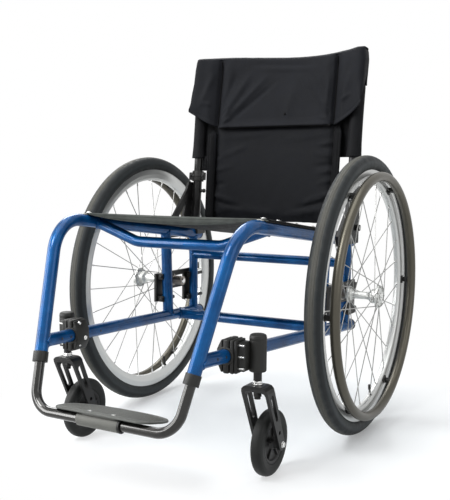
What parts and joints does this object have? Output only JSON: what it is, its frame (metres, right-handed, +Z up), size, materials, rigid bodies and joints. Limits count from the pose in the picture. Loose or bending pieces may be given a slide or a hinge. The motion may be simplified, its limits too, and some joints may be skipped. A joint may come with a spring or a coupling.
{
  "type": "rigid wheelchair",
  "caption": "Manual wheelchair with a rigid tubular frame, spoked quick-release rear wheels with push rims, swivelling front casters, fold-down sling back, sling seat and tilting footplate",
  "frame": {"origin": "on the floor, in the middle of the chair's box, under all its wheels", "axes": "+X is the sitter's left, -Y is the way the sitter faces, +Z is up"},
  "size_m": [0.6514, 0.8856, 0.8645],
  "materials": {
    "main_tube": "blue metallic gloss paint",
    "lower_side_tube": "blue metallic gloss paint",
    "front_upright": "blue metallic gloss paint",
    "rear_upright": "blue metallic gloss paint",
    "front_cross_tube": "blue metallic gloss paint",
    "rear_upper_cross_tube": "blue metallic gloss paint",
    "rear_lower_cross_tube": "blue metallic gloss paint",
    "footrest_collar": "black plastic",
    "footrest_tube": "black satin paint",
    "footplate_clamp": "grey moulded plastic",
    "footplate": "dark grey moulded plastic with ribs",
    "caster_clamp": "black satin paint",
    "caster_housing": "black satin paint",
    "caster_stem": "blackened steel",
    "caster_spacer": "bright steel",
    "caster_fork": "black satin paint",
    "caster_axle_bolt": "bright steel",
    "caster_hub": "black plastic",
    "caster_tyre": "black solid rubber",
    "rear_tyre": "dark grey rubber",
    "rear_rim": "silver, turned",
    "rear_hub": "silver, turned",
    "push_rim": "dark brown-grey anodised tube",
    "quick_release_axle": "bright steel",
    "release_button": "bright steel",
    "axle_receiver": "silver, turned",
    "axle_plate": "black satin paint",
    "hinge_bracket": "black satin paint",
    "back_post": "black satin paint",
    "post_collar": "black plastic",
    "lock_pin": "black plastic",
    "back_sleeves": "black woven nylon",
    "back_pad": "black woven nylon",
    "back_flap": "black woven nylon",
    "seat_sling": "black woven nylon"
  },
  "bodies": {
    "frame": {"main_tube_left": "main_tube", "main_tube_right": "main_tube", "lower_side_tube_left": "lower_side_tube", "lower_side_tube_right": "lower_side_tube", "front_upright_left": "front_upright", "front_upright_right": "front_upright", "rear_upright_left": "rear_upright", "rear_upright_right": "rear_upright", "front_cross_tube": "front_cross_tube", "rear_upper_cross_tube": "rear_upper_cross_tube", "rear_lower_cross_tube": "rear_lower_cross_tube", "footrest_collar_left": "footrest_collar", "footrest_collar_right": "footrest_collar", "caster_clamp_left": "caster_clamp", "caster_clamp_right": "caster_clamp", "caster_housing_left": "caster_housing", "caster_housing_right": "caster_housing", "axle_receiver_left": "axle_receiver", "axle_receiver_right": "axle_receiver", "axle_plate_left": "axle_plate", "axle_plate_right": "axle_plate", "hinge_bracket_left": "hinge_bracket", "hinge_bracket_right": "hinge_bracket", "seat_sling": "seat_sling", "footrest_tube": "footrest_tube"},
    "foot_support": {"footplate": "footplate", "footplate_clamp": "footplate_clamp"},
    "backrest": {"back_post_left": "back_post", "back_post_right": "back_post", "post_collar_left": "post_collar", "post_collar_right": "post_collar", "back_sleeves": "back_sleeves", "back_pad": "back_pad", "back_flap": "back_flap"},
    "caster_left": {"caster_stem_left": "caster_stem", "caster_spacer_left": "caster_spacer", "caster_fork_left": "caster_fork", "caster_axle_bolt_left": "caster_axle_bolt"},
    "caster_wheel_left": {"caster_hub_left": "caster_hub", "caster_tyre_left": "caster_tyre"},
    "axle_left": {"quick_release_axle_left": "quick_release_axle"},
    "button_left": {"release_button_left": "release_button"},
    "rear_wheel_left": {"rear_tyre_left": "rear_tyre", "rear_rim_left": "rear_rim", "rear_hub_left": "rear_hub", "push_rim_left": "push_rim"},
    "pin_left": {"lock_pin_left": "lock_pin"},
    "caster_right": {"caster_stem_right": "caster_stem", "caster_spacer_right": "caster_spacer", "caster_fork_right": "caster_fork", "caster_axle_bolt_right": "caster_axle_bolt"},
    "caster_wheel_right": {"caster_hub_right": "caster_hub", "caster_tyre_right": "caster_tyre"},
    "axle_right": {"quick_release_axle_right": "quick_release_axle"},
    "button_right": {"release_button_right": "release_button"},
    "rear_wheel_right": {"rear_tyre_right": "rear_tyre", "rear_rim_right": "rear_rim", "rear_hub_right": "rear_hub", "push_rim_right": "push_rim"},
    "pin_right": {"lock_pin_right": "lock_pin"}
  },
  "joints": [
    {"name": "axle_release_left", "type": "slide", "parent": "frame", "child": "axle_left", "axis": [1, 0, 0], "range_m": [0, 0.07]},
    {"name": "rear_wheel_spin_left", "type": "hinge", "parent": "axle_left", "child": "rear_wheel_left", "pos_m": [0.2829, 0.13822, 0.305], "axis": [1, 0, 0], "continuous": true},
    {"name": "axle_button_left", "type": "slide", "parent": "axle_left", "child": "button_left", "axis": [-1, 0, 0], "range_m": [0, 0.004], "stiffness_N_per_m": 500},
    {"name": "caster_swivel_left", "type": "hinge", "parent": "frame", "child": "caster_left", "pos_m": [0.2215, -0.25678, 0.187], "axis": [0, 0, 1], "continuous": true},
    {"name": "caster_wheel_spin_left", "type": "hinge", "parent": "caster_left", "child": "caster_wheel_left", "pos_m": [0.2215, -0.20378, 0.0635], "axis": [1, 0, 0], "continuous": true},
    {"name": "lock_pin_pull_left", "type": "slide", "parent": "backrest", "child": "pin_left", "axis": [-1, 0, 0], "range_m": [0, 0.006], "stiffness_N_per_m": 800},
    {"name": "axle_release_right", "type": "slide", "parent": "frame", "child": "axle_right", "axis": [-1, 0, 0], "range_m": [0, 0.07]},
    {"name": "rear_wheel_spin_right", "type": "hinge", "parent": "axle_right", "child": "rear_wheel_right", "pos_m": [-0.2829, 0.13822, 0.305], "axis": [1, 0, 0], "continuous": true},
    {"name": "axle_button_right", "type": "slide", "parent": "axle_right", "child": "button_right", "axis": [1, 0, 0], "range_m": [0, 0.004], "stiffness_N_per_m": 500},
    {"name": "caster_swivel_right", "type": "hinge", "parent": "frame", "child": "caster_right", "pos_m": [-0.2215, -0.25678, 0.187], "axis": [0, 0, 1], "continuous": true},
    {"name": "caster_wheel_spin_right", "type": "hinge", "parent": "caster_right", "child": "caster_wheel_right", "pos_m": [-0.2215, -0.20378, 0.0635], "axis": [1, 0, 0], "continuous": true},
    {"name": "lock_pin_pull_right", "type": "slide", "parent": "backrest", "child": "pin_right", "axis": [1, 0, 0], "range_m": [0, 0.006], "stiffness_N_per_m": 800},
    {"name": "backrest_fold", "type": "hinge", "parent": "frame", "child": "backrest", "pos_m": [0, 0.23422, 0.447], "axis": [1, 0, 0], "range_deg": [0, 84]},
    {"name": "footplate_tilt", "type": "hinge", "parent": "frame", "child": "foot_support", "pos_m": [0, -0.42978, 0.129], "axis": [1, 0, 0], "range_deg": [-10, 75]}
  ]
}
